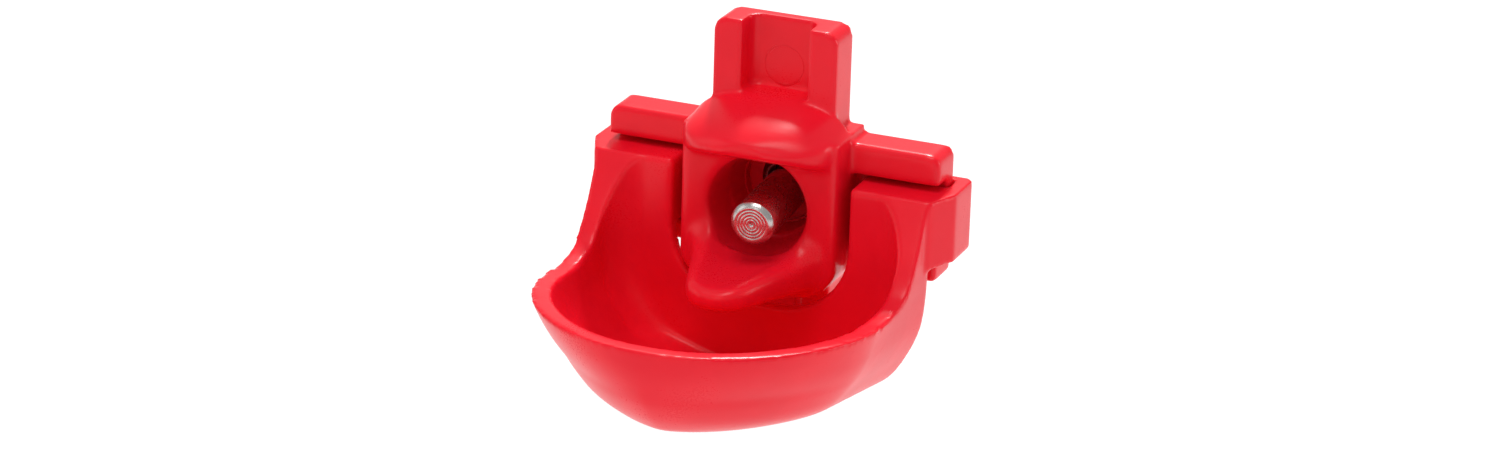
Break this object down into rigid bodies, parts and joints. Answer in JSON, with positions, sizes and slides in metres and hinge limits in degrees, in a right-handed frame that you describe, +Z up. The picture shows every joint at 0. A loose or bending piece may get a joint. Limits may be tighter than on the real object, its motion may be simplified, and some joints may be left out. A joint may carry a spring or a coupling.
{
  "type": "poultry drinker cup",
  "caption": "Small moulded drinker cup for poultry, with a snap-fit bowl, a sprung steel push valve and a threaded shank that screws into a pipe or tank wall.",
  "frame": {"origin": "on the axis of the threaded shank, where the shank leaves the back of the plate", "axes": "+Y along the threaded shank, away from the cup; +Z up in use; +X to the right seen from the front of the cup"},
  "size_m": [0.045, 0.0588, 0.043],
  "materials": {
    "body_plastic": "injection moulded, soft gloss",
    "cup_plastic": "injection moulded, soft gloss",
    "silicone": "milky translucent silicone",
    "pin_steel": "turned and polished stainless steel",
    "spring_steel": "drawn stainless wire",
    "black_rubber": "moulded black rubber"
  },
  "bodies": {
    "root": {"valve_body": "body_plastic", "cup": "cup_plastic"},
    "washer": {"sealing_washer": "silicone"},
    "plunger": {"poppet_seal": "black_rubber", "return_spring": "spring_steel"},
    "button": {"tail_button": "pin_steel"},
    "trigger": {"trigger_pin": "pin_steel"}
  },
  "joints": [
    {"name": "pin_push", "type": "slide", "parent": "root", "child": "plunger", "axis": [0, 1, 0], "range_m": [0, 0.0012], "stiffness_N_per_m": 60, "deforming": ["return_spring"]},
    {"name": "pin_tilt_vertical", "type": "hinge", "parent": "plunger", "child": "button", "pos_m": [0, 0.0141, 0], "axis": [1, 0, 0], "range_deg": [-6.9, 2.7], "stiffness_Nm_per_rad": 0.05},
    {"name": "pin_tilt_sideways", "type": "hinge", "parent": "button", "child": "trigger", "pos_m": [0, 0.0141, 0], "axis": [0, 0, 1], "range_deg": [-7.1, 2.5], "stiffness_Nm_per_rad": 0.05},
    {"name": "washer_slide", "type": "slide", "parent": "root", "child": "washer", "axis": [0, 1, 0], "range_m": [0, 0.0105]}
  ]
}
